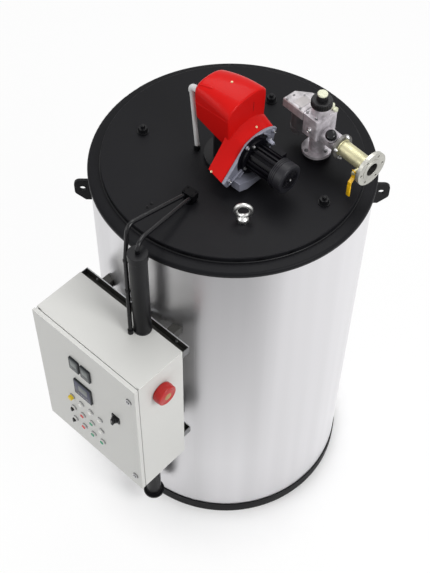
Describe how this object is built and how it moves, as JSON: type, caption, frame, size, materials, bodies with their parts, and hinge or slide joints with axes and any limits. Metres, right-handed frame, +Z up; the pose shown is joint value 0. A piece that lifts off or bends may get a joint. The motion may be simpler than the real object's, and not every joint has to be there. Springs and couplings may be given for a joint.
{
  "type": "industrial boiler",
  "caption": "Upright cylindrical thermal-fluid boiler with a top-mounted gas burner, gas valve train, lifting lugs and a side control cabinet with a hinged door.",
  "frame": {"origin": "centre of the round base on the floor", "axes": "+Z up along the vessel's axis; -Y towards the viewer of the picture, with the cabinet at the front left"},
  "size_m": [1.4782, 1.611, 2.4002],
  "materials": {
    "black_enamel": "matte",
    "jacket_steel": "brushed",
    "black_steel": "satin",
    "red_paint": "gloss",
    "cast_grey": "cast",
    "motor_black": "satin",
    "white_plastic": "matte",
    "valve_metal": "cast",
    "canister_grey": "satin",
    "black_plastic": "matte",
    "cream_plastic": "gloss",
    "zinc_yellow": "plated",
    "yellow_paint": "gloss",
    "cabinet_grey": "satin",
    "galvanised": "satin",
    "chrome_trim": "polished",
    "lens_white": "gloss",
    "lens_red": "gloss",
    "lens_green": "gloss",
    "button_yellow": "gloss",
    "selector_black": "gloss",
    "sounder_red": "gloss",
    "outlet_steel": "satin"
  },
  "bodies": {
    "boiler": {"base_pan": "black_enamel", "top_rim": "black_enamel", "lid": "black_enamel", "jacket": "jacket_steel", "lid_nuts": "black_steel", "lifting_lug_right": "black_steel", "lifting_lug_left": "black_steel", "burner_neck": "black_steel", "hose_foot": "black_steel", "gas_stub": "black_steel", "flow_nozzle": "black_steel", "return_nozzle": "black_steel", "conduit_fitting": "black_steel", "cable_riser": "black_steel", "riser_cap": "black_steel", "lower_duct": "black_steel", "conduit_gland": "black_steel", "burner_hood": "red_paint", "burner_scroll": "red_paint", "motor_plate": "cast_grey", "burner_motor": "motor_black", "motor_cowl": "motor_black", "drain_hose": "white_plastic", "hose_elbow": "white_plastic", "gas_valve": "valve_metal", "valve_actuator": "valve_metal", "actuator_canister": "canister_grey", "port_plug": "black_plastic", "valve_knob": "black_plastic", "conduit_left": "black_plastic", "conduit_right": "black_plastic", "valve_cap": "cream_plastic", "gas_tube": "zinc_yellow", "lever_stem": "zinc_yellow", "cabinet_body": "cabinet_grey", "mounting_plate": "galvanised", "cabinet_rails": "galvanised", "hinge_arms": "galvanised", "eyebolt": "galvanised", "tube_flanges": "galvanised", "sounder": "sounder_red", "smoke_outlet": "outlet_steel"},
    "door": {"cabinet_door": "cabinet_grey", "controllers": "black_plastic", "pilot_bezels": "chrome_trim", "lenses_white": "lens_white", "lenses_red": "lens_red", "lenses_green": "lens_green", "push_button": "button_yellow", "door_switches": "black_plastic", "door_locks": "chrome_trim"},
    "selector": {"selector_knob": "selector_black"},
    "gas_lever": {"gas_lever": "yellow_paint"}
  },
  "joints": [
    {"name": "door_hinge", "type": "hinge", "parent": "boiler", "child": "door", "pos_m": [-0.79692, -0.50304, 1.2], "axis": [0, 0, -1], "range_deg": [0, 100]},
    {"name": "selector_turn", "type": "hinge", "parent": "door", "child": "selector", "pos_m": [-0.45492, -0.81384, 1.265], "axis": [0.6547, 0.7559, 0], "range_deg": [0, 90]},
    {"name": "gas_lever_turn", "type": "hinge", "parent": "boiler", "child": "gas_lever", "pos_m": [0.47139, -0.20488, 2.158], "axis": [0.7314, 0.682, 0], "range_deg": [0, 90]}
  ]
}
